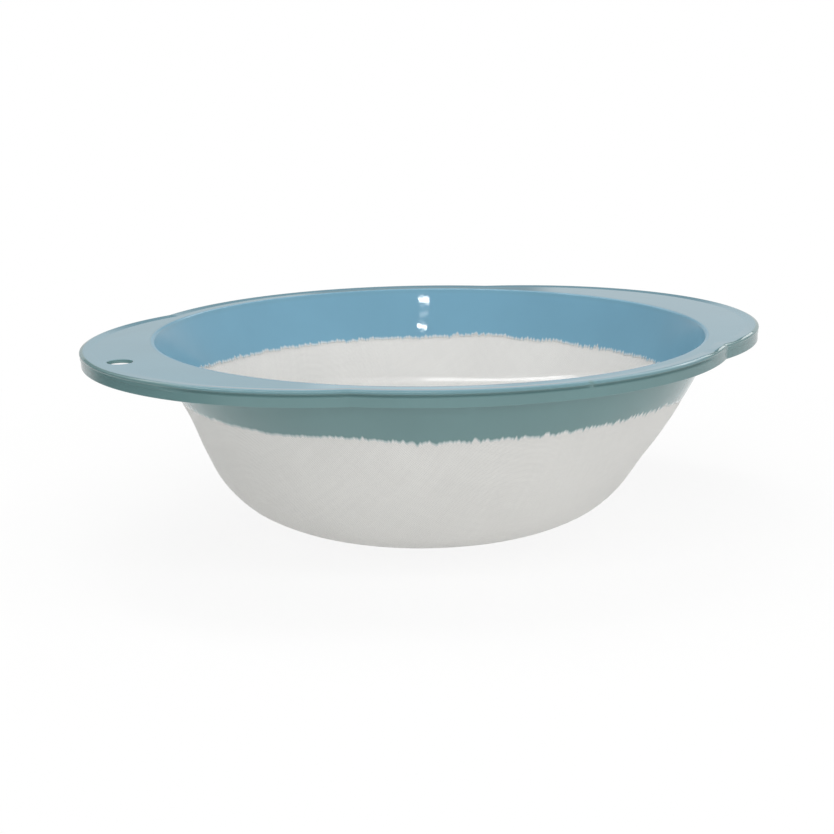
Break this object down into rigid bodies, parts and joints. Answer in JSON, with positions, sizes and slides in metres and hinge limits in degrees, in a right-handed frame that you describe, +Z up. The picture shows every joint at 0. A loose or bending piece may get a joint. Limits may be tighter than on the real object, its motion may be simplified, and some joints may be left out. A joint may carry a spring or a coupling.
{
  "type": "rice washing bowl",
  "caption": "Round colander bowl for washing rice: a fine woven mesh basket moulded into a glossy plastic rim with flat ear handles, a hang hole and a downturned skirt.",
  "frame": {"origin": "centre of the flat base, on the surface that the bowl stands on", "axes": "+Z up along the bowl's axis, +X through both ears, away from the ear with the hang hole"},
  "size_m": [0.3, 0.2564, 0.0845],
  "materials": {
    "rim_plastic": "glossy moulded polypropylene, blue-grey",
    "woven_mesh": "fine white woven monofilament mesh"
  },
  "bodies": {
    "root": {"rim_moulding": "rim_plastic", "mesh_basket": "woven_mesh"}
  },
  "joints": []
}
